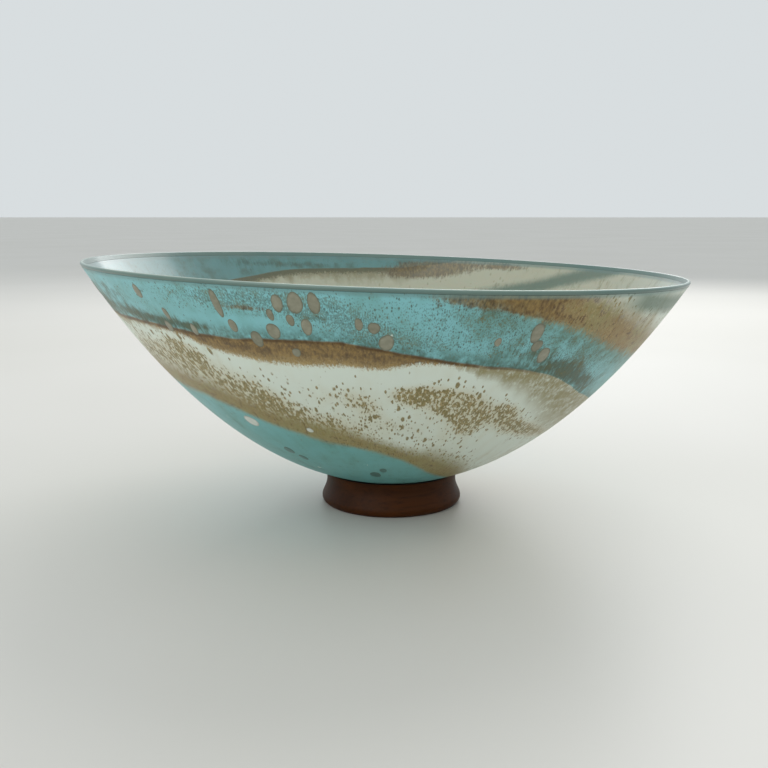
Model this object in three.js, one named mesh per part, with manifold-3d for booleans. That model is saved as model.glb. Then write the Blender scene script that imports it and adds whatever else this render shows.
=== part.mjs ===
// Art glass bowl: a wide, thin-walled blown bowl on a small turned walnut foot.
// The wall is cased glass. A clear casing forms the inside and the rounded lip, a coloured
// overlay is fused over its outside, and flat glass chips are let into the overlay.
// The foot is turned wood with a dished seat, and an adhesive layer bonds the glass to it.
//
// Millimetres, +Z up. The origin is the centre of the foot's flat underside.
import * as THREE from "three";
import { mergeVertices } from "three/addons/utils/BufferGeometryUtils.js";
import Module from "manifold-3d";

const wasm = await Module();
wasm.setup();

// ---- Glass wall ----
const RIM_RADIUS = 140; // outside of the lip, on average round the bowl
const WALL_TOP = 139.4; // outer radius of the wall where the lip's rounding begins
const WALL_BASE = 11.4; // height of the outside at the centre, above the standing surface
const WALL_CURVE = [0.679, 0.044, 0.011]; // shares of the rim radius on u^2, u^4 and u^6
const LIP_WALL = 1.7; // glass thickness at the lip
const BASE_WALL = 5; // glass thickness at the centre
const LIP_DRIFT = 2.9; // the wall runs this much further out at -X and less at +X: an oblique lip
const DRIFT_START = 0.45; // share of the rim radius where that drift begins
const OVERLAY = 1; // thickness of the coloured overlay
const FUSE_GAP = 0.1; // between casing and overlay
const LIP_CLEAR = 0.7; // the overlay stops this far below the lip's rounding

// ---- Chips ----
const CHIP_DEPTH = 0.5; // below the overlay's surface
const CHIP_CROWN = 0.15; // above it
const POCKET_GAP = 0.15; // round and under each chip

// ---- Foot and bond ----
const FOOT_BASE_R = 31.6;
const FOOT_WIDE_R = 34;
const FOOT_WIDE_Z = 3;
const FOOT_TOP_R = 31.9;
const FOOT_FLARE_Z = 5.7; // how far up the widest part begins to turn in
const FOOT_NECK = [30.1, 8.8]; // control point that pulls the side in under the glass
const SEAT_DEPTH = 0.8; // gap between the glass and the seat, which the bond fills
const BOND_GAP = 0.1;
const BOND_R = 31.2;

// ---- Fineness ----
const ROUND_SEGMENTS = 64;
const WALL_ROWS = 14;
const LIP_STEPS = 5;
const FOOT_SEGMENTS = 48;
const SEAT_ROWS = 4;
const CURVE_STEPS = 5;
const CHIP_SEGMENTS = 12;

// Each chip: azimuth in degrees (0 at +X, 270 at -Y), place up the wall as a share of the rim
// radius, width round the bowl and length up the wall. All of the first list is clay-grey.
const STONE_CHIPS = [
  [225, 0.97, 4.2, 6.2],
  [229.5, 0.933, 3.2, 5],
  [228, 0.907, 3.6, 5.2],
  [234.5, 0.907, 3.2, 5],
  [242.3, 0.963, 3.8, 12],
  [243.6, 0.923, 3.8, 5.4],
  [250.8, 0.918, 5.2, 7.4],
  [247.2, 0.9, 5, 7],
  [251.2, 0.949, 2.8, 5],
  [252.9, 0.97, 4.6, 7.2],
  [255.7, 0.972, 6.2, 9],
  [258.6, 0.973, 4.6, 9],
  [254.3, 0.941, 3.2, 4.6],
  [256.7, 0.93, 4.4, 7],
  [253.7, 0.877, 3.6, 3.6],
  [265, 0.939, 3.2, 5],
  [267.3, 0.933, 4.4, 5],
  [269.2, 0.905, 5.6, 7.6],
  [287.8, 0.908, 2.8, 4],
  [294.5, 0.925, 5.6, 9],
  [295.6, 0.898, 5, 5],
  [298, 0.876, 5, 8],
  [141, 0.966, 4.6, 6.4],
  [144.5, 0.974, 4.4, 8],
  [147, 0.949, 4, 6],
  [156, 0.965, 5, 8],
  [163, 0.938, 3.6, 5.4],
  [175, 0.962, 4.8, 7],
  [178, 0.944, 3.6, 5],
  [198, 0.955, 4.4, 7],
  [34, 0.905, 5, 7.6],
  [38, 0.884, 4, 5.6],
];
const GREEN_CHIPS = [
  [263, 0.404, 5, 7.6],
  [266.8, 0.446, 3.4, 5],
  [234, 0.533, 5, 6],
  [237, 0.497, 4, 5],
  [150, 0.52, 5, 7],
];
const PALE_CHIPS = [
  [231, 0.657, 7, 7.4],
  [249, 0.652, 3, 3],
  [120, 0.6, 6, 7],
];

function wallHeight(radius) {
  const u = radius / RIM_RADIUS;
  return WALL_CURVE.reduce((z, share, i) => z + RIM_RADIUS * share * u ** (2 * i + 2), WALL_BASE);
}

function wallSlope(radius) {
  const u = radius / RIM_RADIUS;
  return WALL_CURVE.reduce((s, share, i) => s + (2 * i + 2) * share * u ** (2 * i + 1), 0);
}

// A point of the wall's section, at a depth measured square to the outside.
function section(radius, depth) {
  const slope = wallSlope(radius);
  const length = Math.hypot(1, slope);
  return new THREE.Vector2(radius - (depth * slope) / length, wallHeight(radius) + depth / length);
}

function wallThickness(radius) {
  return LIP_WALL + (BASE_WALL - LIP_WALL) * (1 - radius / WALL_TOP) ** 1.5;
}

// How far the oblique lip moves a point out from the axis, at an azimuth.
function drift(radius, azimuth) {
  const share = (radius / RIM_RADIUS - DRIFT_START) / (1 - DRIFT_START);
  return -LIP_DRIFT * Math.max(0, share) * Math.cos(azimuth);
}

// Slides a turned piece's vertices along the wall, so that its lip runs oblique.
function slideToLip(geometry) {
  const position = geometry.getAttribute("position");
  for (let i = 0; i < position.count; i++) {
    const x = position.getX(i);
    const y = position.getY(i);
    const radius = Math.hypot(x, y);
    if (radius < 1) continue;
    const moved = radius + drift(radius, Math.atan2(y, x));
    const rise = wallHeight(moved) - wallHeight(radius);
    position.setXYZ(i, (x * moved) / radius, (y * moved) / radius, position.getZ(i) + rise);
  }
  return geometry;
}

// Rows of the wall from the centre to a last radius, at a depth that may vary.
function wallRows(lastRadius, depthAt) {
  return Array.from({ length: WALL_ROWS + 1 }, (_, i) => {
    const radius = (lastRadius * i) / WALL_ROWS;
    return section(radius, depthAt(radius));
  });
}

// A closed solid of revolution about Z.
function turned(profile, segments) {
  return new THREE.LatheGeometry(profile, segments).rotateX(Math.PI / 2);
}

function lipProfile() {
  const slope = wallSlope(WALL_TOP);
  const up = new THREE.Vector2(1, slope).normalize();
  const out = new THREE.Vector2(slope, -1).normalize();
  const centre = section(WALL_TOP, LIP_WALL / 2);
  return Array.from({ length: LIP_STEPS + 1 }, (_, i) => {
    const turn = (Math.PI * i) / LIP_STEPS;
    return centre
      .clone()
      .addScaledVector(out, (LIP_WALL / 2) * Math.cos(turn))
      .addScaledVector(up, (LIP_WALL / 2) * Math.sin(turn));
  });
}

function overlayEdgeRadius() {
  return WALL_TOP - LIP_CLEAR / Math.hypot(1, wallSlope(WALL_TOP));
}

function clearCasing() {
  const behindOverlay = OVERLAY + FUSE_GAP;
  const shoulder = overlayEdgeRadius() + FUSE_GAP;
  const outside = wallRows(shoulder, () => behindOverlay);
  const inside = wallRows(WALL_TOP, wallThickness).reverse().slice(1);
  const profile = [...outside, section(shoulder, 0), ...lipProfile(), ...inside];
  return slideToLip(turned(profile, ROUND_SEGMENTS));
}

function colourOverlay() {
  const outside = wallRows(overlayEdgeRadius(), () => 0);
  const inside = wallRows(overlayEdgeRadius(), () => OVERLAY).reverse();
  return slideToLip(turned([...outside, ...inside], ROUND_SEGMENTS));
}

function walnutFoot() {
  const rim = section(FOOT_TOP_R, -SEAT_DEPTH);
  const side = new THREE.Path()
    .moveTo(FOOT_BASE_R, 0)
    .absellipse(FOOT_BASE_R, FOOT_WIDE_Z, FOOT_WIDE_R - FOOT_BASE_R, FOOT_WIDE_Z, -Math.PI / 2, 0)
    .bezierCurveTo(FOOT_WIDE_R, FOOT_FLARE_Z, ...FOOT_NECK, rim.x, rim.y)
    .getPoints(CURVE_STEPS);
  const seat = Array.from({ length: SEAT_ROWS }, (_, i) =>
    section(FOOT_TOP_R * (1 - (i + 1) / SEAT_ROWS), -SEAT_DEPTH),
  );
  return turned([new THREE.Vector2(0, 0), ...side, ...seat], FOOT_SEGMENTS);
}

function seatBond() {
  const rows = Array.from({ length: SEAT_ROWS + 1 }, (_, i) => (BOND_R * i) / SEAT_ROWS);
  const under = rows.map((radius) => section(radius, BOND_GAP - SEAT_DEPTH));
  const over = rows.map((radius) => section(radius, -BOND_GAP)).reverse();
  return turned([...under, ...over], FOOT_SEGMENTS);
}

// A flat oval with a slightly crowned face, lying in XY about the origin.
function oval(width, length, bottom, top, crown) {
  const profile = [
    new THREE.Vector2(0, bottom),
    new THREE.Vector2(1, bottom),
    new THREE.Vector2(1, top),
    new THREE.Vector2(0, crown),
  ];
  return turned(profile, CHIP_SEGMENTS).scale(width / 2, length / 2, 1);
}

function outerPoint(azimuth, radius) {
  const moved = radius + drift(radius, azimuth);
  return new THREE.Vector3(
    moved * Math.cos(azimuth),
    moved * Math.sin(azimuth),
    wallHeight(moved),
  );
}

// The frame of a place on the outside: X round the bowl, Y up the wall, Z out of the glass.
function wallFrame(azimuthDegrees, share) {
  const azimuth = THREE.MathUtils.degToRad(azimuthDegrees);
  const radius = share * RIM_RADIUS;
  const place = outerPoint(azimuth, radius);
  const up = outerPoint(azimuth, radius + 1).sub(place).normalize();
  const round = outerPoint(azimuth + 0.01, radius).sub(place).normalize();
  const out = round.clone().cross(up).normalize();
  return new THREE.Matrix4().makeBasis(up.clone().cross(out), up, out).setPosition(place);
}

function solid(geometry) {
  const bare = geometry.clone();
  bare.deleteAttribute("normal");
  bare.deleteAttribute("uv");
  const merged = mergeVertices(bare, 1e-3);
  const mesh = new wasm.Mesh({
    numProp: 3,
    vertProperties: merged.getAttribute("position").array,
    triVerts: new Uint32Array(merged.index.array),
  });
  return new wasm.Manifold(mesh);
}

function geometryOf(manifold) {
  const mesh = manifold.getMesh();
  return new THREE.BufferGeometry()
    .setAttribute("position", new THREE.BufferAttribute(mesh.vertProperties, 3))
    .setIndex(new THREE.BufferAttribute(mesh.triVerts, 1));
}

const bowl = new THREE.Group();

function add(name, geometry, color, roughness, extra = {}) {
  const material = new THREE.MeshStandardMaterial({ color, roughness, metalness: 0, ...extra });
  const mesh = new THREE.Mesh(geometry, material);
  mesh.name = name;
  bowl.add(mesh);
}

// Adds one chip and returns the pocket that is cut for it.
function addChip(name, [azimuth, share, width, length], color) {
  const frame = wallFrame(azimuth, share);
  const chip = oval(width, length, -CHIP_DEPTH, 0, CHIP_CROWN);
  add(name, chip.applyMatrix4(frame), color, 0.4);
  const wider = 2 * POCKET_GAP;
  const pocket = oval(width + wider, length + wider, -CHIP_DEPTH - POCKET_GAP, 1, 1);
  return solid(pocket.applyMatrix4(frame));
}

add("clear_casing", clearCasing(), 0xa9c4bf, 0.08, { transparent: true, opacity: 0.6 });
add("walnut_foot", walnutFoot(), 0x4a2a1a, 0.45);
add("seat_bond", seatBond(), 0x14110f, 0.6);

let overlay = solid(colourOverlay());
const chipKinds = [
  ["stone_chip", STONE_CHIPS, 0x8f8675],
  ["green_chip", GREEN_CHIPS, 0x4f7a72],
  ["pale_chip", PALE_CHIPS, 0xd9ddd2],
];
for (const [kind, chips, color] of chipKinds) {
  chips.forEach((chip, i) => {
    const name = `${kind}_${String(i + 1).padStart(2, "0")}`;
    overlay = overlay.subtract(addChip(name, chip, color));
  });
}
add("colour_overlay", geometryOf(overlay), 0x6fb6b8, 0.4);

export default bowl;
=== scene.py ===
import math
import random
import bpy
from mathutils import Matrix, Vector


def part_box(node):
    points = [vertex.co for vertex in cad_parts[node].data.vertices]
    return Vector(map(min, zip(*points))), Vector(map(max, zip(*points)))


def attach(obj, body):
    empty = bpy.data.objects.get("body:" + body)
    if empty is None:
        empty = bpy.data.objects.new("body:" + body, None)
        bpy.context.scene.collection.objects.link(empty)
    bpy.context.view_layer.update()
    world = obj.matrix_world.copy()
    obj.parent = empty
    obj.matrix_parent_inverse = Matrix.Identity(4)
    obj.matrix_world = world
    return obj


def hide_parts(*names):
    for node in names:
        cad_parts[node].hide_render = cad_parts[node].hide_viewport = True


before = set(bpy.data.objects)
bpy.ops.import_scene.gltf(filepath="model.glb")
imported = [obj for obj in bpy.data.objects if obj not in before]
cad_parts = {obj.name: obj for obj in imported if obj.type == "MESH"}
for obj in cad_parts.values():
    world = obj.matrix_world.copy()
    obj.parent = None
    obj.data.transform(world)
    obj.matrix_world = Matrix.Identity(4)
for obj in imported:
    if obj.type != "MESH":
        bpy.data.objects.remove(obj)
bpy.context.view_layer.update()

# The looks of an art glass bowl: swirled coloured glass over a clear liner, with flat glass
# chips and a polished clear lip, on a turned walnut foot. Metres, +Z up, -Y is the front.

from types import SimpleNamespace

import bpy
import numpy as np
from mathutils import Vector

MM = 0.001

# ---- The glass wall, which part.mjs shapes in the same way ----
RIM = 140 * MM
WALL_TOP = 139.4 * MM
WALL_BASE = 11.4 * MM
WALL_CURVE = (0.679, 0.044, 0.011)
LIP_WALL = 1.7 * MM
BASE_WALL = 5.0 * MM
OVERLAY = 1.0 * MM
LIP_CLEAR = 0.7 * MM
LIP_DEEP = 2.0 * MM  # how far down the inside the polished lip reaches
FUSE_GAP = 0.1 * MM
DRIFT_START = 0.45
COLOUR_DEPTH = 2.4 * MM  # how much nearer the axis the inside is than the colours behind it
LINER_CLARITY = 0.35  # how clearly the colours show through the clear glass

# ---- The foot, the bond and the chips ----
SEAT_DEPTH = 0.8 * MM
FOOT_BASE = 31.6 * MM
FOOT_WIDE_HEIGHT = 3.0 * MM
FOOT_FLARE_HEIGHT = 5.7 * MM
FOOT_NECK = (30.1 * MM, 8.8 * MM)
FOOT_TOP = 31.9 * MM
BOND_REACH = 31.2 * MM
BOND_BULGE = 0.25 * MM
BOND_GAP = 0.1 * MM
CHIP_SINK = 0.5 * MM
CHIP_FIT = 0.97  # leaves room inside the CAD outline for the uneven edge
CHIP_STEPS = 28
CHIP_RINGS = 6


def wall_height(radius):
    u = radius / RIM
    return WALL_BASE + RIM * sum(c * u ** (2 * i + 2) for i, c in enumerate(WALL_CURVE))


def wall_slope(radius):
    u = radius / RIM
    return sum((2 * i + 2) * c * u ** (2 * i + 1) for i, c in enumerate(WALL_CURVE))


def section(radius, depth):
    """A point (radius, height) of the wall's section, at a depth square to the outside."""
    slope = wall_slope(radius)
    length = math.hypot(1, slope)
    return radius - depth * slope / length, wall_height(radius) + depth / length


def wall_thickness(radius):
    return LIP_WALL + (BASE_WALL - LIP_WALL) * max(0, 1 - radius / WALL_TOP) ** 1.5


def drift(radius, azimuth):
    """How far the oblique lip moves a point out from the axis."""
    share = np.clip((radius / RIM - DRIFT_START) / (1 - DRIFT_START), 0, None)
    return -LIP_DRIFT * share * np.cos(azimuth)


# The lip's lean and the foot's width come from the CAD model.
casing_low, casing_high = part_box("clear_casing")
LIP_DRIFT = -(casing_low.x + casing_high.x) / 2
OVERLAY_TOP = WALL_TOP - LIP_CLEAR / math.hypot(1, wall_slope(WALL_TOP))
FOOT_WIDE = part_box("walnut_foot")[1].x

WALL_SEGMENTS = 288
FOOT_SEGMENTS = 192

# ---- Camera ----
CAMERA_PLACE = (0, -3.425 * RIM, 0.998 * RIM)
CAMERA_PITCH = 0.1697
CAMERA_TURN = 0.0075
CAMERA_LENS = 46.875


def make_camera():
    camera = bpy.data.objects.new("camera", bpy.data.cameras.new("camera"))
    camera.data.sensor_width = 36
    camera.data.lens = CAMERA_LENS
    camera.data.clip_start = 0.01
    camera.location = CAMERA_PLACE
    camera.rotation_euler = (math.pi / 2 - CAMERA_PITCH, 0, CAMERA_TURN)
    bpy.context.scene.collection.objects.link(camera)
    bpy.context.scene.camera = camera


# ---- Arithmetic inside a material ----
class Value:
    """A number in a material's node tree, so that a pattern reads as plain arithmetic."""

    def __init__(self, graph, socket):
        self.graph = graph
        self.socket = socket

    def __add__(self, other):
        return self.graph.math("ADD", self, other)

    def __sub__(self, other):
        return self.graph.math("SUBTRACT", self, other)

    def __rsub__(self, other):
        return self.graph.math("SUBTRACT", other, self)

    def __mul__(self, other):
        return self.graph.math("MULTIPLY", self, other)

    def __truediv__(self, other):
        return self.graph.math("DIVIDE", self, other)

    __radd__ = __add__
    __rmul__ = __mul__


class Graph:
    """A material and short words for making its nodes."""

    def __init__(self, name):
        self.material = bpy.data.materials.new(name)
        self.material.use_nodes = True
        self.tree = self.material.node_tree
        self.shader = self.tree.nodes["Principled BSDF"]

    def node(self, kind, **settings):
        node = self.tree.nodes.new(kind)
        for name, setting in settings.items():
            setattr(node, name, setting)
        return node

    def put(self, value, socket):
        """Links a value to a socket, or sets the socket to a plain number or colour."""
        if isinstance(value, Value):
            self.tree.links.new(value.socket, socket)
        elif isinstance(value, tuple) and len(value) == 3 and socket.type == "RGBA":
            socket.default_value = (*value, 1)
        else:
            socket.default_value = value

    def math(self, operation, *numbers):
        node = self.node("ShaderNodeMath", operation=operation)
        for number, socket in zip(numbers, node.inputs):
            self.put(number, socket)
        return Value(self, node.outputs[0])

    def low(self, a, b):
        return self.math("MINIMUM", a, b)

    def high(self, a, b):
        return self.math("MAXIMUM", a, b)

    def smooth(self, value, start, end):
        """0 before start, 1 after end, and a smooth step between; end may be under start."""
        node = self.node("ShaderNodeMapRange", interpolation_type="SMOOTHSTEP")
        for number, name in ((value, "Value"), (start, "From Min"), (end, "From Max")):
            self.put(number, node.inputs[name])
        return Value(self, node.outputs["Result"])

    def mix(self, share, first, second):
        node = self.node("ShaderNodeMix", data_type="RGBA")
        self.put(share, node.inputs[0])
        self.put(first, node.inputs[6])
        self.put(second, node.inputs[7])
        return Value(self, node.outputs[2])

    def vector(self, x, y, z):
        node = self.node("ShaderNodeCombineXYZ")
        for number, socket in zip((x, y, z), node.inputs):
            self.put(number, socket)
        return Value(self, node.outputs[0])

    def axes(self, vector):
        node = self.node("ShaderNodeSeparateXYZ")
        self.put(vector, node.inputs[0])
        return [Value(self, socket) for socket in node.outputs]

    def place(self):
        return Value(self, self.node("ShaderNodeTexCoord").outputs["Object"])

    def noise(self, vector, size, detail=2.0, roughness=0.5, distortion=0.0):
        """Noise about 0, mostly within -1 and 1, with features of that size in metres."""
        node = self.node("ShaderNodeTexNoise")
        self.put(vector, node.inputs["Vector"])
        node.inputs["Scale"].default_value = 1 / size
        node.inputs["Detail"].default_value = detail
        node.inputs["Roughness"].default_value = roughness
        node.inputs["Distortion"].default_value = distortion
        return (Value(self, node.outputs[0]) - 0.5) * 3.0

    def cells(self, vector, size):
        """Scattered points a size apart: distance to the nearest, in sizes, and two random shares."""
        node = self.node("ShaderNodeTexVoronoi")
        self.put(vector, node.inputs["Vector"])
        node.inputs["Scale"].default_value = 1 / size
        red, green, _ = self.axes(Value(self, node.outputs["Color"]))
        return Value(self, node.outputs["Distance"]), red, green

    def curve(self, value, points, top=1.25):
        """A smooth curve through (degrees, height) points, read at a value of 0 to 1 turns. top
        is the greatest height that it can hold."""
        node = self.node("ShaderNodeFloatCurve")
        self.put(value, node.inputs["Value"])
        line = node.mapping.curves[0]
        while len(line.points) < len(points):
            line.points.new(0.5, 0.5)
        for point, (degrees, height) in zip(line.points, points):
            point.location = (degrees / 360, height / top)
            point.handle_type = "AUTO_CLAMPED"
        node.mapping.update()
        return Value(self, node.outputs[0]) * top

    def attribute(self, name):
        node = self.node("ShaderNodeAttribute", attribute_name=name)
        return Value(self, node.outputs["Fac"])

    def bump(self, height, distance, strength=1.0):
        node = self.node("ShaderNodeBump")
        node.inputs["Strength"].default_value = strength
        node.inputs["Distance"].default_value = distance
        self.put(height, node.inputs["Height"])
        self.tree.links.new(node.outputs[0], self.shader.inputs["Normal"])

    def set(self, **inputs):
        """Sets or links the shader's sockets; coat_weight stands for "Coat Weight"."""
        for name, value in inputs.items():
            words = " ".join("IOR" if w == "ior" else w.capitalize() for w in name.split("_"))
            self.put(value, self.shader.inputs[words])


def tint(code):
    """The linear colour of a hexadecimal sRGB code."""
    parts = [int(code[i : i + 2], 16) / 255 for i in (0, 2, 4)]
    return tuple(c / 12.92 if c < 0.04045 else ((c + 0.055) / 1.055) ** 2.4 for c in parts)


# ---- The swirl: places are azimuth in degrees (270 at the front) and share of the rim radius ----
OUT = 1.25  # above the lip, so that nothing of a band shows

# One turquoise ribbon winds down the bowl. It starts at the lip behind, passes the front under
# the lip, goes round the back lower down, and ends at the front over the foot.
UNDER_FIRST = [(0, OUT), (66, OUT), (72, 1.0), (84, 0.972), (96, 0.966), (112, 0.962), (124, 0.95),
               (138, 0.93), (160, 0.915), (190, 0.912), (210, 0.908), (220, 0.907), (229, 0.9),
               (242, 0.896), (250, 0.899), (260, 0.9), (266, 0.892), (275, 0.875), (286, 0.857),
               (296, 0.842), (303, 0.822), (311, 0.786), (318, 0.757), (328, 0.722), (340, 0.69),
               (360, 0.655)]
UNDER_SECOND = [(0, 0.655), (20, 0.615), (45, 0.54), (70, 0.44), (95, 0.32), (120, 0.18),
                (145, 0.05), (165, 0.0), (360, 0.0)]
OVER_FIRST = [(0, OUT), (279, OUT), (284, 1.0), (290, 0.965), (298, 0.942), (306, 0.918),
              (315, 0.885), (325, 0.857), (335, 0.835), (347, 0.816), (360, 0.803)]
OVER_SECOND = [(0, 0.803), (20, 0.787), (50, 0.772), (90, 0.765), (140, 0.755), (180, 0.738),
               (212, 0.733), (224, 0.715), (232, 0.685), (240, 0.648), (250, 0.611), (260, 0.583),
               (268, 0.552), (274, 0.515), (280, 0.465), (286, 0.415), (294, 0.36), (306, 0.3),
               (325, 0.2), (345, 0.08), (360, 0.0)]
# How far the golden-brown powder reaches above the ribbon, on each winding, and below it.
GOLD_OVER_FIRST = [(0, 0.06), (281, 0.03), (290, 0.06), (300, 0.075), (310, 0.075), (330, 0.072),
                   (345, 0.065), (360, 0.06)]
GOLD_OVER_SECOND = [(0, 0.06), (30, 0.055), (90, 0.05), (150, 0.06), (190, 0.07), (220, 0.075),
                    (232, 0.082), (244, 0.08), (258, 0.08), (268, 0.068), (276, 0.08), (283, 0.13),
                    (292, 0.145), (305, 0.11), (330, 0.08), (360, 0.06)]
GOLD_UNDER = [(0, 0.03), (25, 0.016), (48, 0.0), (78, 0.0), (88, 0.013), (110, 0.013), (140, 0.016),
              (170, 0.014), (218, 0.007), (227, 0.01), (235, 0.027), (244, 0.041), (254, 0.053),
              (264, 0.049), (271, 0.032), (277, 0.012), (286, 0.004), (298, 0.0), (325, 0.0),
              (345, 0.015), (360, 0.03)]
# How far a haze of tan reaches below the ribbon.
TAN_UNDER = [(0, 0.13), (25, 0.08), (50, 0.0), (76, 0.0), (88, 0.05), (120, 0.04), (200, 0.02),
             (240, 0.01), (280, 0.012), (288, 0.04), (296, 0.085), (306, 0.13), (318, 0.18),
             (335, 0.2), (360, 0.13)]

# Drifts of specks: azimuth, place, spread round, spread up, fall per degree, strength.
SPECKS_ON_WHITE = [
    (212, 0.85, 10, 0.05, -0.001, 0.8),
    (229, 0.84, 5, 0.045, -0.003, 0.75),
    (236, 0.78, 6, 0.075, -0.003, 0.7),
    (243, 0.76, 5, 0.05, -0.004, 0.75),
    (226, 0.855, 4, 0.02, -0.002, 1.3),
    (221, 0.83, 5, 0.03, -0.003, 0.7),
    (252, 0.69, 8, 0.045, -0.003, 0.55),
    (255, 0.77, 7, 0.035, 0.0, 0.5),
    (264, 0.755, 5, 0.045, -0.003, 0.78),
    (274, 0.776, 4, 0.024, -0.001, 1.45),
    (281, 0.765, 5, 0.032, -0.003, 1.7),
    (288, 0.71, 4, 0.06, -0.006, 1.6),
    (296, 0.715, 5, 0.033, -0.002, 1.4),
    (282, 0.72, 13, 0.08, -0.002, 0.55),
    (268, 0.68, 11, 0.04, -0.003, 0.58),
    (301, 0.665, 6, 0.04, -0.002, 0.75),
    (309, 0.635, 7, 0.035, -0.003, 1.05),
    (319, 0.60, 9, 0.03, -0.003, 0.75),
    (336, 0.55, 14, 0.035, -0.0025, 0.7),
    (20, 0.45, 22, 0.05, -0.003, 0.6),
    (60, 0.93, 24, 0.03, -0.001, 0.4),
    (75, 0.87, 20, 0.03, -0.001, 0.55),
    (130, 0.86, 24, 0.04, -0.001, 0.7),
    (175, 0.85, 22, 0.045, -0.001, 0.7),
]
SPECKS_ON_BLUE = [
    (245, 0.97, 9, 0.02, 0.0, 1.5),
    (258, 0.965, 8, 0.024, -0.001, 1.3),
    (265, 0.935, 9, 0.018, -0.0022, 0.9),
    (280, 0.96, 16, 0.05, 0.0, 0.65),
    (292, 0.90, 13, 0.05, -0.002, 0.6),
    (310, 0.85, 11, 0.05, -0.003, 0.85),
    (230, 0.975, 10, 0.018, 0.0, 0.5),
    (270, 0.905, 14, 0.018, -0.001, 0.75),
    (222, 0.94, 12, 0.03, -0.002, 0.4),
    (160, 0.97, 22, 0.02, 0.0, 0.5),
    (100, 0.985, 20, 0.012, 0.0, 0.5),
    (10, 0.74, 30, 0.04, -0.001, 0.6),
    (80, 0.66, 30, 0.06, -0.001, 0.55),
]

# A grey-green streak that leaves the lip at the right, and one that leaves it behind.
STREAK = [(0, 1.1), (14, 1.06), (27, 1.0), (40, 0.965), (50, 0.935), (60, 0.91), (72, 0.885),
          (100, 0.85), (200, 1.1), (290, 1.1), (312, 0.985), (325, 0.968), (340, 0.96),
          (350, 1.0), (360, 1.1)]
STAINS = [
    (200, 0.945, 12, 0.03, 0.001, 0.5),
    (80, 0.968, 12, 0.026, -0.001, 1.6),
    (60, 0.985, 7, 0.012, 0.0, 0.9),
    (283, 0.985, 9, 0.017, -0.001, 1.1),
    (293, 0.965, 6, 0.014, -0.002, 0.8),
    (247, 0.957, 5, 0.006, 0.0, 0.8),
    (297, 0.985, 12, 0.012, 0.0, 0.7),
    (305, 0.935, 9, 0.014, -0.002, 0.5),
    (322, 0.935, 4, 0.014, 0.0, 0.5),
]
# Mossy dark green in the turquoise.
MOSS = [
    (203, 0.925, 10, 0.022, 0.0, 1.2),
    (222, 0.918, 8, 0.014, -0.001, 1.3),
    (233, 0.912, 8, 0.012, 0.0, 1.3),
    (214, 0.955, 5, 0.02, -0.002, 0.8),
    (200, 0.955, 9, 0.028, 0.0, 0.9),
    (256, 0.945, 16, 0.008, 0.0, 0.7),
    (283, 0.985, 7, 0.016, -0.002, 0.9),
    (299, 0.95, 10, 0.014, -0.0035, 0.85),
    (300, 0.86, 9, 0.024, -0.003, 0.9),
    (309, 0.815, 8, 0.03, -0.004, 1.15),
    (318, 0.785, 8, 0.026, -0.004, 1.0),
    (160, 0.94, 14, 0.03, 0.0, 0.9),
    (128, 0.975, 9, 0.014, 0.0, 1.1),
    (112, 0.972, 9, 0.008, 0.0, 1.0),
]

MILK = tint("dfe9dd")
CREAM = tint("cdc5a2")
TAN = tint("9c946f")
SAND = tint("bfa873")
GOLD = tint("927439")
UMBER = tint("523812")
OLIVE = tint("8f8850")
OLIVE_DARK = tint("5a5c38")
TURQUOISE = tint("88c7cc")
TEAL = tint("70b0ae")
DEEP_TEAL = tint("43756c")
SEA_GREEN = tint("5f8f7f")
DARK_GREEN = tint("38533f")
GREY_GREEN = tint("637c69")
LIP_GREY = tint("6d8f8c")
# Painted shade for the inside of the bowl.
SHADE = tint("46524c")
SPECK = tint("776a32")
DARK_SPECK = tint("3f4a36")


# In these functions g is the material's Graph and s is what swirl_places returns.
def drifts(g, s, places):
    """How thick the drifts of specks lie, 0 or more."""
    total = 0.0
    for azimuth, height, around, up, fall, strength in places:
        past = g.math("FRACT", s.turn + (0.5 - azimuth / 360)) - 0.5
        along = past / (around / 360)
        across = (s.share - height - past * 360 * fall) / up
        total = g.math("EXPONENT", 0 - along * along - across * across) * strength + total
    return total


def specks(g, place, size, density, largest, rough):
    """Specks: 1 inside a speck. The denser the drift, the more of the cells hold one. rough
    is a noise that makes the outlines uneven."""
    distance, chance, girth = g.cells(place, size)
    present = g.smooth(chance, density, density - 0.05)
    reach = (girth * 0.6 + 0.4) * largest
    return g.smooth(distance + rough * 0.13, reach, reach * 0.6) * present


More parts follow.
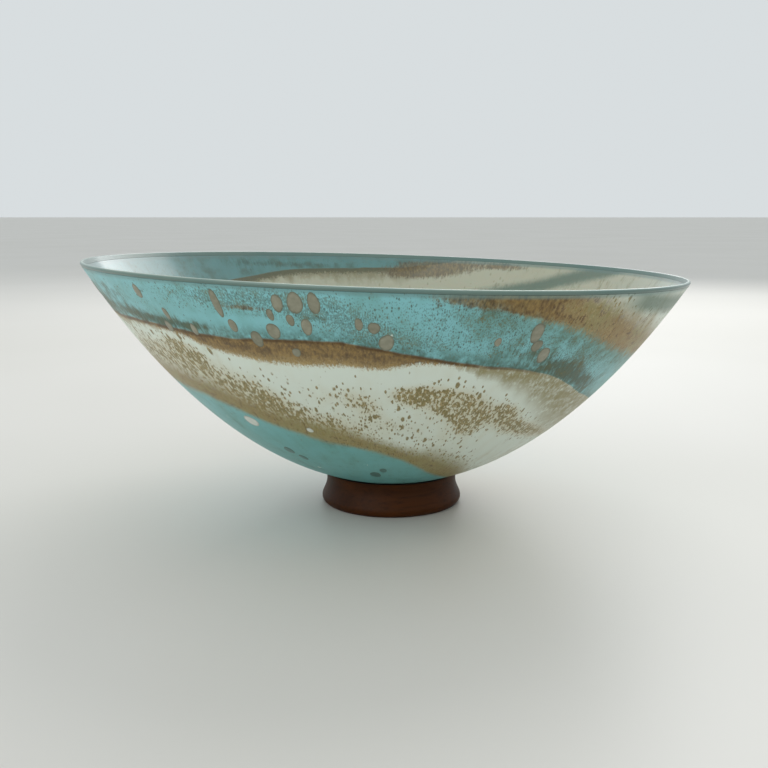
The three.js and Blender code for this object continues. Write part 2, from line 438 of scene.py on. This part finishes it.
def swirl_places(g, inset, clarity):
    """Where a point lies in the swirl, and the noises that the colours share. inset moves the
    pattern in to a surface that lies further in, and clarity is 1 outside and less where the
    pattern is seen through clear glass."""
    place = g.place()
    x, y, _ = g.axes(place)
    radius = g.math("SQRT", x * x + y * y)
    azimuth = g.math("ARCTAN2", y, x)
    turn = g.math("FRACT", azimuth / math.tau)
    cosine, sine = g.math("COSINE", azimuth), g.math("SINE", azimuth)
    ramp = g.high((radius / RIM - DRIFT_START) / (1 - DRIFT_START), 0.0)
    share = (radius + ramp * cosine * LIP_DRIFT + inset) / RIM

    # Noises. The drawn ones are stretched up the wall, the way that hot glass was pulled.
    def spread(stretch):
        return g.vector(cosine * 0.1, sine * 0.1, share * (RIM / stretch))

    def drawn(size, stretch, detail=2.0, roughness=0.5):
        return g.noise(spread(stretch), size, detail, roughness)

    swell = g.noise(place, 45 * MM, 1)
    wave = g.noise(place, 14 * MM, 2)
    fray = g.noise(place, 4.5 * MM, 3, 0.6)
    grain = drawn(0.9 * MM, 1.6, 2, 0.6)
    sand = drawn(0.38 * MM, 1.3, 1)
    fur = drawn(0.8 * MM, 4, 2)
    sweep = drawn(5 * MM, 3, 3)

    edge = share + swell * 0.003 + wave * 0.0025 + fray * (0.0018 * clarity)
    turned = turn + swell * 0.002
    under_first = g.curve(turned, UNDER_FIRST)
    under_second = g.curve(turned, UNDER_SECOND)
    over_first = g.curve(turned, OVER_FIRST)
    over_second = g.curve(turned, OVER_SECOND)
    gold_over_first = g.curve(turned, GOLD_OVER_FIRST, 0.2)
    gold_over_second = g.curve(turned, GOLD_OVER_SECOND, 0.2)
    gold_under = g.curve(turned, GOLD_UNDER, 0.1)
    tan_under = g.curve(turned, TAN_UNDER, 0.3)
    front = g.smooth(sine, 0.25, -0.15)
    limb = g.smooth(g.math("ABSOLUTE", cosine), 0.45, 0.85)
    below = under_first - edge

    # How far a point is below the edge that the powder follows. It changes from the second
    # winding to the first where no powder lies, so that nothing breaks off at azimuth 0.
    hem = under_second + (under_first - under_second) * g.smooth(turn, 0.175, 0.18) - edge
    ragged = share + swell * 0.003 + fur * 0.003 + grain * 0.008 + sand * 0.006 + fray * 0.006
    return SimpleNamespace(
        clarity=clarity, place=place, turn=turn, share=share, cosine=cosine, sine=sine,
        spread=spread, drawn=drawn, wave=wave, fray=fray, grain=grain, sand=sand, fur=fur,
        sweep=sweep, edge=edge, ragged=ragged, turned=turned, front=front, limb=limb,
        under_second=under_second, over_first=over_first, over_second=over_second,
        gold_over_first=gold_over_first, gold_over_second=gold_over_second,
        gold_under=gold_under, tan_under=tan_under, below=below, hem=hem,
    )


def white_glass(g, s):
    """Milk white, creamy behind, with tan drawn through it towards the sides."""
    ground = g.mix(g.smooth(s.sine, -0.35, 0.5) * 0.7, MILK, CREAM)
    ground = g.mix(g.smooth(s.wave + s.sweep, -0.4, 1.8) * 0.3, ground, CREAM)
    smudge = g.smooth(s.fur * 0.35 + s.sweep * 0.8 + s.grain * 0.35 + s.fray * 0.4, -0.1, 0.9)
    ground = g.mix(s.limb * smudge * 0.8, ground, TAN)
    under = s.hem + s.sweep * 0.02 + s.fray * 0.012 + s.grain * 0.008
    haze = g.smooth(under, s.tan_under, s.tan_under * 0.3)
    haze = haze * g.smooth(s.hem, -0.01, 0.0) * g.smooth(s.grain + s.fray, -1.6, 0.4)
    haze = haze * g.smooth(s.tan_under, 0.002, 0.02)
    return g.mix(haze, ground, g.mix(g.smooth(s.fur + s.fray, -0.2, 1.0) * 0.5, TAN, OLIVE))


def golden_powder(g, s, ground):
    """Golden brown lies above the ribbon on both windings. It thins upwards into specks."""
    gold, near = 0.0, 0.0
    for line, reach in ((s.over_first, s.gold_over_first), (s.over_second, s.gold_over_second)):
        rise = s.edge - line + s.fur * 0.004 + s.grain * 0.009 + s.fray * 0.006 + s.sand * 0.004
        there = g.smooth(rise, -0.06, -0.03)
        gold = g.high(gold, g.smooth(rise, reach * 1.3, reach * 0.5) * there)
        near = g.high(near, g.smooth(rise, reach * 1.9, reach * 0.9) * there)

    # Specks of golden brown on the white.
    on_white = g.low(drifts(g, s, SPECKS_ON_WHITE) + near * 0.6, 1.15)
    dusty = g.smooth(on_white + s.fray * 0.15, 0.25, 1.2)
    ground = g.mix(dusty * (0.4 * s.clarity), ground, SAND)
    large = specks(g, s.spread(1.7), 2.2 * MM, on_white * 0.6, 0.5, s.grain)
    small = specks(g, s.spread(1.5), 1.15 * MM, on_white * 0.8, 0.55, s.grain)
    lump = s.drawn(1.05 * MM, 1.6, 2, 0.6)
    chunks = g.smooth(lump + s.fray * 0.25 + on_white * 1.05, 1.0, 1.3)
    spotted = g.high(g.high(large, small), chunks)
    speck_tint = g.mix(g.smooth(s.sand * 0.7 + s.grain * 0.7, -0.4, 1.1), SPECK, SAND)
    ground = g.mix(spotted * (0.92 * s.clarity), ground, speck_tint)

    golden = g.smooth(s.fray * 0.5 + s.grain * 0.5 + s.wave * 0.6, -0.9, 0.5)
    gold_tint = g.mix(golden * (g.smooth(s.share, 0.65, 0.85) * 0.5 + 0.5), OLIVE, GOLD)
    pale = g.smooth(s.sand * 0.9 + s.fur * 0.5 + s.grain * 0.4 + s.sweep * 0.2, 0.1, 0.8)
    gold_tint = g.mix(pale * 0.5, gold_tint, SAND)
    brown = g.smooth(s.grain * 0.8 - s.fur * 0.4 + s.fray * 0.5 - s.sand * 0.4, 0.1, 0.7)
    gold_tint = g.mix(brown * 0.8, gold_tint, UMBER)
    return g.mix(gold * 0.95, ground, gold_tint)


def golden_band(g, s, glaze):
    """A darker golden band straight below the ribbon, which breaks up into grains."""
    broken = s.hem + s.fray * 0.005 + s.grain * 0.007 + s.sand * 0.005
    band = g.smooth(broken, s.gold_under + 0.006, s.gold_under - 0.006)
    band = band * g.smooth(s.hem, -0.004, 0.001) * g.smooth(s.gold_under, 0.001, 0.006)
    band_tint = g.mix(g.smooth(s.grain * 0.8 + s.fray * 0.6 + s.sand * 0.4, -0.7, 0.8), GOLD, UMBER)
    depth = s.hem / (s.gold_under + 0.004)
    band_tint = g.mix(g.smooth(depth + s.sand * 0.3, 0.4, 1.1) * 0.7, band_tint, SAND)
    band_tint = g.mix(g.smooth(s.sine, 0.0, 0.4) * 0.85, band_tint, OLIVE_DARK)
    return g.mix(band * 0.96, glaze, band_tint)


def ribbon_cover(g, s):
    """Where the ribbon lies. It is crisp and dark-edged below, powdery above."""
    first = g.smooth(s.below, 0.002, -0.002) * g.smooth(s.over_first - s.ragged, -0.012, 0.016)
    soft = g.smooth(s.turn, 0.0, 0.08) * 0.006 + 0.002
    second = g.smooth(s.under_second - s.edge - s.fur * (soft - 0.002), soft, 0 - soft)
    beneath = s.over_second - s.share - s.wave * 0.006 - s.grain * 0.004
    second = second * g.smooth(beneath, -0.018, 0.014)
    return g.high(first, second)


def turquoise_glass(g, s):
    """The ribbon's turquoise, clouded with sea green and mossy dark green, with a painted sheen
    towards the sides.
    """
    blue = g.mix(g.smooth(s.share, 0.84, 0.55), TURQUOISE, TEAL)
    clouds = g.smooth(s.wave + s.sweep * 0.7 + s.fray * 0.4, -0.9, 1.3)
    blue = g.mix(clouds * 0.5, blue, SEA_GREEN)
    right = g.smooth(s.turn, 0.76, 0.82) * g.smooth(s.turn, 0.93, 0.88)
    right = right * g.smooth(s.fur * 0.7 + s.wave + s.fray * 0.5, -0.4, 1.1)
    blue = g.mix(right * 0.6, blue, DARK_GREEN)
    # Painted sheen: pale streaks on the turquoise towards the sides, drawn along the glass's fur.
    painted_sheen = g.smooth(g.math("ABSOLUTE", s.cosine), 0.5, 0.8)
    painted_sheen = painted_sheen * g.smooth(s.fur + s.sweep * 0.5, 0.2, 1.0)
    blue = g.mix(painted_sheen * 0.6, blue, g.mix(0.35, TURQUOISE, MILK))
    high_edge = g.smooth(s.turn, 0.99, 0.92) * g.smooth(s.over_first - s.ragged, 0.07, 0.0)
    high_edge = high_edge * g.smooth(s.fray + s.grain * 0.5, -1.4, 0.4)
    blue = g.mix(high_edge * 0.75, blue, g.mix(high_edge * 0.5, SEA_GREEN, OLIVE_DARK))
    blots = g.smooth(s.wave * 0.8 + s.sweep * 0.4, 0.25, 0.95) * g.smooth(s.share, 0.72, 0.6)
    blue = g.mix(blots * 0.5, blue, DARK_GREEN)
    low_edge = g.smooth(0 - s.hem + s.fray * 0.008, 0.036, 0.004) * g.smooth(s.hem, 0.004, -0.002)
    low_edge = low_edge * s.front * g.smooth(s.fray + s.grain * 0.6, -0.9, 0.5) * 0.7
    edge_tint = g.mix(g.smooth(s.turn, 0.7, 0.65) * 0.8, DARK_GREEN, OLIVE_DARK)
    blue = g.mix(low_edge, blue, edge_tint)
    moss = drifts(g, s, MOSS)
    moss = g.smooth(moss + s.fray * 0.55 + s.wave * 0.4 + s.fur * 0.4 + s.grain * 0.3, 0.3, 1.5)
    moss_tint = g.mix(g.smooth(s.fray + s.wave, -0.8, 0.8) * 0.6, DARK_GREEN, OLIVE_DARK)
    blue = g.mix(moss * 0.9, blue, moss_tint)
    back_blots = g.smooth(s.wave * 0.9 + s.fray * 0.4, -0.05, 0.6) * g.smooth(s.sine, -0.1, 0.4)
    blue = g.mix(back_blots * 0.55, blue, OLIVE_DARK)
    return g.mix((1 - s.clarity) * 0.9, blue, DEEP_TEAL)


def turquoise_specks(g, s, blue):
    """Fine dark salt on the turquoise, and a few pale glints."""
    on_blue = g.low(drifts(g, s, SPECKS_ON_BLUE), 1.2)
    density = on_blue * 0.45 + s.fray * 0.2 + 0.05
    salt = specks(g, s.spread(1.3), 0.62 * MM, density, 0.58, s.sand)
    dust = g.smooth(s.sand * 0.9 + s.fray * 0.25 + on_blue * 0.7, 0.5, 0.95)
    salt = g.high(salt, dust * 0.7)
    speck_tint = g.mix(g.smooth(s.fray + s.wave * 0.5, -0.4, 1.0), DARK_SPECK, SPECK)
    blue = g.mix(salt * (0.72 * s.clarity), blue, speck_tint)
    glints = specks(g, s.place, 12 * MM, 0.45, 0.1, s.grain)
    return g.mix(glints * (0.8 * s.clarity), blue, MILK)


def ribbon_line(g, s, glaze):
    """A thin brown line along the front of the ribbon's lower edge."""
    line = g.smooth(g.math("ABSOLUTE", s.below - 0.002 + s.fray * 0.002), 0.0062, 0.001)
    line = line * s.front * g.smooth(s.turn, 0.85, 0.79) * g.smooth(s.turn, 0.45, 0.5)
    line = line * g.smooth(s.sweep + s.fray * 0.5, -1.0, 0.2)
    return g.mix(line * (0.85 * s.clarity), glaze, UMBER)


def streaks_and_stains(g, s, glaze):
    """Grey-green streaks up to the lip at the right and behind, and brown stains near it."""
    streak = g.curve(s.turned, STREAK)
    streaked = g.smooth(g.math("ABSOLUTE", s.edge - streak + s.grain * 0.004), 0.032, 0.006)
    streaked = streaked * (g.smooth(s.turn, 0.855, 0.885) + g.smooth(s.turn, 0.28, 0.2))
    glaze = g.mix(streaked * 0.9, glaze, GREY_GREEN)
    stains = drifts(g, s, STAINS)
    stained = g.smooth(stains + s.fray * 0.22 + s.grain * 0.3 + s.fur * 0.2, 0.35, 0.9)
    return g.mix(stained * 0.75, glaze, g.mix(g.smooth(s.grain, -0.6, 0.6), GOLD, UMBER))


def bowl_pattern(g, inset, clarity):
    """The swirl's colour, and how powdery it is."""
    s = swirl_places(g, inset, clarity)
    glaze = golden_powder(g, s, white_glass(g, s))
    glaze = golden_band(g, s, glaze)
    blue = turquoise_specks(g, s, turquoise_glass(g, s))
    glaze = g.mix(ribbon_cover(g, s), glaze, blue)
    glaze = ribbon_line(g, s, glaze)
    glaze = streaks_and_stains(g, s, glaze)
    top = g.smooth(s.share, 0.984, 0.991)
    return g.mix(top * 0.6, glaze, LIP_GREY), s.grain * 0.6 + s.sand * 0.4


def glass_skin_material():
    g = Graph("satin coloured glass")
    colour, powder = bowl_pattern(g, 0.0, 1.0)
    g.set(base_color=colour, roughness=g.smooth(powder, -1.5, 1.5) * 0.16 + 0.36)
    g.set(ior=1.45, subsurface_weight=0.2, subsurface_scale=1.5 * MM)
    g.shader.inputs["Subsurface Radius"].default_value = (1.0, 1.0, 1.0)
    g.set(coat_weight=0.15, coat_roughness=0.25)
    g.bump(powder, 0.05 * MM, 0.5)
    return g.material


def glass_liner_material():
    g = Graph("clear glass over the colours")
    colour, _ = bowl_pattern(g, COLOUR_DEPTH, LINER_CLARITY)
    # Painted shade: the colours inside are mixed a third of the way to the dark grey-green SHADE, for
    # the shade inside the bowl.
    g.set(base_color=g.mix(0.34, colour, SHADE), roughness=0.3, ior=1.5, subsurface_weight=0.15)
    g.set(subsurface_scale=2.5 * MM, coat_weight=0.5, coat_roughness=0.14)
    g.bump(g.noise(g.place(), 30 * MM, 1), 0.3 * MM, 0.3)
    return g.material


def lip_material():
    """Clear glass, grey-green seen edge on outside and inside, partly its own tint and partly painted
    reflection, with a painted highlight over the crown.
    """
    g = Graph("polished clear lip")
    place = g.place()
    x, y, z = g.axes(place)
    past_top = g.math("SQRT", x * x + y * y) - WALL_TOP
    risen = z - wall_height(WALL_TOP) - past_top * wall_slope(WALL_TOP)
    cloud = g.smooth(g.noise(place, 30 * MM, 2), -1, 1)
    # Grey-green edge: partly the glass's own tint, partly painted reflection.
    edge = g.mix(cloud, tint("587570"), tint("687d74"))
    # Painted highlight: the crown on top of the lip is lighter.
    crown = g.mix(cloud, tint("8fa8a0"), tint("a9b8a9"))
    on_crown = g.smooth(risen, 0.5 * MM, 2.0 * MM) * g.smooth(risen, 3.2 * MM, 2.7 * MM)
    g.set(base_color=g.mix(on_crown, edge, crown), roughness=0.3, ior=1.5, specular_ior_level=0.35)
    g.set(coat_weight=0.2, coat_roughness=0.15)
    g.bump(g.noise(place, 12 * MM, 2), 0.15 * MM, 0.3)
    return g.material


def chip_material(name, middle, border):
    g = Graph(name)
    place = g.place()
    mottle = g.noise(place, 2.2 * MM, 3)
    tone = g.attribute("tone")
    rim = g.attribute("rim")
    colour = g.mix(g.smooth(mottle, -1.0, 1.0) * 0.5 + tone * 0.4, middle, border)
    outline = g.smooth(rim + mottle * 0.09, 0.62, 1.02)
    colour = g.mix(outline * outline * 0.8, colour, g.mix(0.5, border, DARK_SPECK))
    g.set(base_color=colour, roughness=0.36, ior=1.5, coat_weight=0.2, coat_roughness=0.2)
    g.bump(mottle, 0.04 * MM, 0.5)
    return g.material


def walnut_material():
    g = Graph("oiled walnut")
    x, y, z = g.axes(g.place())
    along = x * 0.94 + y * 0.34
    across = y * 0.94 - x * 0.34
    grain_place = g.vector(along * 0.06, across, z)
    figure = g.noise(grain_place, 9 * MM, 3, 0.55, 0.4)
    rings = g.noise(g.vector(along * 0.05, across, z * 1.4), 1.6 * MM, 4, 0.6)
    pores = g.noise(g.vector(along * 0.03, across, z), 0.35 * MM, 2)
    # These browns are partly walnut's own dark colour and partly painted shade, darker still for the
    # shade under the bowl.
    colour = g.mix(g.smooth(figure, -1.1, 1.1), tint("2a1203"), tint("4a2506"))
    colour = g.mix(g.smooth(rings, -0.2, 1.0) * 0.65, colour, tint("160a03"))
    colour = g.mix(g.smooth(pores, 0.5, 1.1) * 0.75, colour, tint("0a0502"))
    g.set(base_color=colour, roughness=g.smooth(pores + figure, -2, 2) * 0.2 + 0.36, ior=1.45)
    g.set(specular_ior_level=0.15)
    turning = g.math("SINE", z * (math.tau / (0.45 * MM))) * 0.25
    g.bump(turning + rings * 0.3 - g.smooth(pores, 0.5, 1.2), 0.05 * MM, 0.5)
    return g.material


def bond_material():
    g = Graph("dark adhesive and painted seat shadow")
    hue = g.noise(g.place(), 3 * MM, 2)
    # The near-black is partly the adhesive's own colour and partly painted shade, for the shadow line
    # in the gap between the glass and the foot.
    g.set(base_color=g.mix(g.smooth(hue, -1, 1), tint("15110e"), tint("241c17")), roughness=0.45)
    g.bump(hue, 0.1 * MM, 0.4)
    return g.material


# ---- Meshes ----
def new_piece(name, mesh, material, replaced):
    piece = bpy.data.objects.new(name, mesh)
    bpy.context.scene.collection.objects.link(piece)
    mesh.materials.append(material)
    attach(piece, "root")
    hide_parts(*replaced)
    return piece


def turned_mesh(name, profile, segments=WALL_SEGMENTS, slide=False, sharp=50):
    """A closed solid of revolution. The profile runs outside upwards and ends on the axis, or
    closes on itself. With slide, the points move along the wall to the oblique lip."""
    profile = np.array(profile)
    on_axis = profile[0][0] < 1e-9
    ring = profile[1:-1] if on_axis else profile
    azimuth = np.arange(segments) * math.tau / segments
    radius = np.repeat(ring[:, :1], segments, 1)
    height = np.repeat(ring[:, 1:], segments, 1)
    angle = np.repeat(azimuth[None], len(ring), 0)
    if slide:
        moved = radius + drift(radius, angle)
        height = height + wall_height(moved) - wall_height(radius)
        radius = moved
    points = np.stack([radius * np.cos(angle), radius * np.sin(angle), height], -1).reshape(-1, 3)
    rows, faces = len(ring), []
    steps = range(rows - 1) if on_axis else range(rows)
    for i in steps:
        below, above = i * segments, ((i + 1) % rows) * segments
        for j in range(segments):
            k = (j + 1) % segments
            faces.append((below + j, below + k, above + k, above + j))
    if on_axis:
        points = np.vstack([points, [0, 0, profile[0][1]], [0, 0, profile[-1][1]]])
        first, last, top = len(points) - 2, len(points) - 1, (rows - 1) * segments
        for j in range(segments):
            k = (j + 1) % segments
            faces.append((first, k, j))
            faces.append((last, top + j, top + k))
    return smooth_mesh(name, points, faces, sharp)


def smooth_mesh(name, points, faces, sharp=50):
    mesh = bpy.data.meshes.new(name)
    mesh.from_pydata([tuple(p) for p in points], [], faces)
    mesh.validate()
    mesh.shade_smooth()
    mesh.set_sharp_from_angle(angle=math.radians(sharp))
    return mesh


def wall_rows(first, last, rows, depth_at):
    radii = np.linspace(first, last, rows)
    return [section(r, depth_at(r)) for r in radii]


def lip_arc(steps):
    """The rounded lip, from the outside over the top to the inside."""
    slope = wall_slope(WALL_TOP)
    length = math.hypot(1, slope)
    centre = section(WALL_TOP, LIP_WALL / 2)
    arc = []
    for i in range(steps + 1):
        turn = math.pi * i / steps
        out, up = math.cos(turn) * LIP_WALL / 2, math.sin(turn) * LIP_WALL / 2
        arc.append((centre[0] + (out * slope + up) / length, centre[1] + (up * slope - out) / length))
    return arc


def make_skin(material):
    outside = wall_rows(0, OVERLAY_TOP, 120, lambda r: 0)
    inside = wall_rows(0, OVERLAY_TOP, 40, lambda r: OVERLAY)[::-1]
    mesh = turned_mesh("colour_glass_skin", outside + inside, slide=True)
    return new_piece("colour_glass_skin", mesh, material, ["colour_overlay"])


def make_liner(material):
    lip_foot = WALL_TOP - LIP_DEEP / math.hypot(1, wall_slope(WALL_TOP))
    behind = wall_rows(0, lip_foot, 40, lambda r: OVERLAY + FUSE_GAP)
    inside = wall_rows(0, lip_foot, 120, wall_thickness)[::-1]
    mesh = turned_mesh("clear_glass_liner", behind + inside, slide=True)
    return new_piece("clear_glass_liner", mesh, material, ["clear_casing"])


def make_lip(material):
    lip_foot = WALL_TOP - (LIP_DEEP - FUSE_GAP) / math.hypot(1, wall_slope(WALL_TOP))
    shoulder = OVERLAY_TOP + FUSE_GAP
    behind = OVERLAY + FUSE_GAP
    profile = [section(lip_foot, behind), section(shoulder, behind), section(shoulder, 0)]
    profile += lip_arc(16)
    profile += [section(lip_foot, LIP_WALL)]
    mesh = turned_mesh("glass_lip", profile, slide=True, sharp=40)
    return new_piece("glass_lip", mesh, material, ["clear_casing"])


def wall_frame(azimuth_degrees, share):
    """A place on the outside, and its directions round the bowl, up the wall and outwards."""
    azimuth = math.radians(azimuth_degrees)

    def outer(angle, radius):
        moved = float(radius + drift(radius, angle))
        return Vector((moved * math.cos(angle), moved * math.sin(angle), wall_height(moved)))

    place = outer(azimuth, share * RIM)
    up = (outer(azimuth, share * RIM + MM) - place).normalized()
    around = (outer(azimuth + 0.01, share * RIM) - place).normalized()
    out = around.cross(up).normalized()
    return place, up.cross(out), up, out


def chip_points(node, rng):
    """The points of one chip: a flat domed oval with an uneven outline, where its node lies."""
    low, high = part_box(node)
    middle = (low + high) / 2
    azimuth = math.degrees(math.atan2(middle.y, middle.x))
    radius = math.hypot(middle.x, middle.y)
    share = (radius - float(drift(radius, math.radians(azimuth)))) / RIM
    place, across, up, out = wall_frame(azimuth, share)
    corners = [v.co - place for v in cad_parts[node].data.vertices]
    half_width = max(c.dot(across) for c in corners)
    half_length = max(c.dot(up) for c in corners)
    dome = max(c.dot(out) for c in corners)
    phases = [rng.uniform(0, math.tau) for _ in range(3)]
    points, rims = [], []
    for ring in range(CHIP_RINGS + 2):
        reach = min(1, (ring + 1) / CHIP_RINGS)
        sink = -CHIP_SINK if ring >= CHIP_RINGS else 0
        height = dome * (1 - reach**4) + sink
        for step in range(CHIP_STEPS):
            turn = math.tau * step / CHIP_STEPS
            wobble = 1 + 0.05 * math.sin(2 * turn + phases[0]) + 0.03 * math.sin(3 * turn + phases[1])
            span = CHIP_FIT * reach * wobble
            point = place + out * height
            point += across * (half_width * span * math.cos(turn))
            point += up * (half_length * span * math.sin(turn))
            points.append(point)
            rims.append(reach)
    points += [place + out * dome, place - out * CHIP_SINK]
    rims += [0.0, 1.0]
    return points, rims


def make_chips(name, kind, material, seed):
    """One piece for all the chips of a kind. Each point knows how near its chip's rim it is, and
    each chip has its own tone."""
    nodes = sorted(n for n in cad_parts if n.startswith(kind))
    rng = random.Random(seed)
    points, faces, rims, tones = [], [], [], []
    for node in nodes:
        base = len(points)
        chip, chip_rims = chip_points(node, rng)
        last = base + (CHIP_RINGS + 1) * CHIP_STEPS
        for row in range(base, last, CHIP_STEPS):
            next_row = row + CHIP_STEPS
            for step in range(CHIP_STEPS):
                k = (step + 1) % CHIP_STEPS
                faces.append((row + step, next_row + step, next_row + k, row + k))
        centre, under = base + len(chip) - 2, base + len(chip) - 1
        for step in range(CHIP_STEPS):
            k = (step + 1) % CHIP_STEPS
            faces.append((centre, base + step, base + k))
            faces.append((under, last + k, last + step))
        points += chip
        rims += chip_rims
        tones += [rng.random()] * len(chip)
    mesh = smooth_mesh(name, points, faces, 60)
    mesh.attributes.new("rim", "FLOAT", "POINT").data.foreach_set("value", rims)
    mesh.attributes.new("tone", "FLOAT", "POINT").data.foreach_set("value", tones)
    return new_piece(name, mesh, material, nodes)


def bezier(a, b, c, d, steps):
    """Points along a cubic curve from a to d, without a itself."""
    line = []
    for i in range(1, steps + 1):
        t = i / steps
        weights = ((1 - t) ** 3, 3 * t * (1 - t) ** 2, 3 * t * t * (1 - t), t**3)
        line.append(tuple(sum(w * p[k] for w, p in zip(weights, (a, b, c, d))) for k in (0, 1)))
    return line


def make_foot(material):
    """A flat base, a rounded lower edge, a waisted side and a dished seat under the glass."""
    under, rounding, waist, seat = 12, 12, 20, 14
    profile = [(FOOT_BASE * i / under, 0) for i in range(under + 1)]
    for i in range(1, rounding + 1):
        turn = math.pi / 2 * i / rounding
        out = (FOOT_WIDE - FOOT_BASE) * math.sin(turn)
        profile.append((FOOT_BASE + out, FOOT_WIDE_HEIGHT * (1 - math.cos(turn))))
    rim = section(FOOT_TOP, -SEAT_DEPTH)
    profile += bezier(profile[-1], (FOOT_WIDE, FOOT_FLARE_HEIGHT), FOOT_NECK, rim, waist)
    profile += [section(FOOT_TOP * (1 - i / seat), -SEAT_DEPTH) for i in range(1, seat + 1)]
    mesh = turned_mesh("turned_walnut_foot", profile, FOOT_SEGMENTS, sharp=35)
    return new_piece("turned_walnut_foot", mesh, material, ["walnut_foot"])


def make_bond(material):
    """The layer of adhesive between the seat and the glass, which bulges out a little."""
    steps = 10
    under = [section(BOND_REACH * i / steps, BOND_GAP - SEAT_DEPTH) for i in range(steps + 1)]
    over = [section(BOND_REACH * i / steps, -BOND_GAP) for i in range(steps, -1, -1)]
    bulge = section(BOND_REACH + BOND_BULGE, -SEAT_DEPTH / 2)
    mesh = turned_mesh("adhesive_ring", under + [bulge] + over, FOOT_SEGMENTS)
    return new_piece("adhesive_ring", mesh, material, ["seat_bond"])


# ---- Stage ----
FLOOR_HALF = 30.0
SKY = (0.86, 0.91, 0.93, 1)
SKY_STRENGTH = 0.8
LIGHT_AIM = Vector((0, 0, 0.06))


def make_floor():
    size = FLOOR_HALF
    points = [(-size, -size, 0), (size, -size, 0), (size, size, 0), (-size, size, 0)]
    mesh = smooth_mesh("floor", points, [(0, 1, 2, 3)])
    g = Graph("pale floor")
    hue = g.noise(g.place(), 0.4, 2)
    g.set(base_color=g.mix(g.smooth(hue, -1, 1), tint("d2cfc8"), tint("d8d5cf")), roughness=0.45)
    floor = bpy.data.objects.new("floor", mesh)
    bpy.context.scene.collection.objects.link(floor)
    mesh.materials.append(g.material)


def soft_light(name, place, size, power):
    lamp = bpy.data.lights.new(name, "AREA")
    lamp.shape = "DISK"
    lamp.size = size
    lamp.energy = power
    light = bpy.data.objects.new(name, lamp)
    light.location = place
    light.rotation_euler = (LIGHT_AIM - Vector(place)).to_track_quat("-Z", "Y").to_euler()
    bpy.context.scene.collection.objects.link(light)


def make_light():
    world = bpy.data.worlds.new("studio")
    bpy.context.scene.world = world
    world.use_nodes = True
    background = world.node_tree.nodes["Background"]
    background.inputs["Color"].default_value = SKY
    background.inputs["Strength"].default_value = SKY_STRENGTH
    soft_light("window", (0.3, 1.1, 0.95), 1.3, 11)
    soft_light("front fill", (-0.8, -1.1, 0.8), 1.4, 7)
    bpy.context.scene.view_settings.view_transform = "Standard"


# Each kind of chip: its material's name, its colours in the middle and at the border, and the
# seed of its outlines.
CHIP_KINDS = [
    ("stone", "clay-grey chips", "9b9a87", "706f5a", 3),
    ("green", "green chips", "4d7d74", "3c655d", 5),
    ("pale", "pale chips", "dfe3da", "c4c9bd", 7),
]

make_camera()
make_light()
make_floor()
make_skin(glass_skin_material())
make_liner(glass_liner_material())
make_lip(lip_material())
for kind, label, middle, border, seed in CHIP_KINDS:
    chip_glass = chip_material(label, tint(middle), tint(border))
    make_chips(kind + "_glass_chips", kind + "_chip", chip_glass, seed)
make_foot(walnut_material())
make_bond(bond_material())
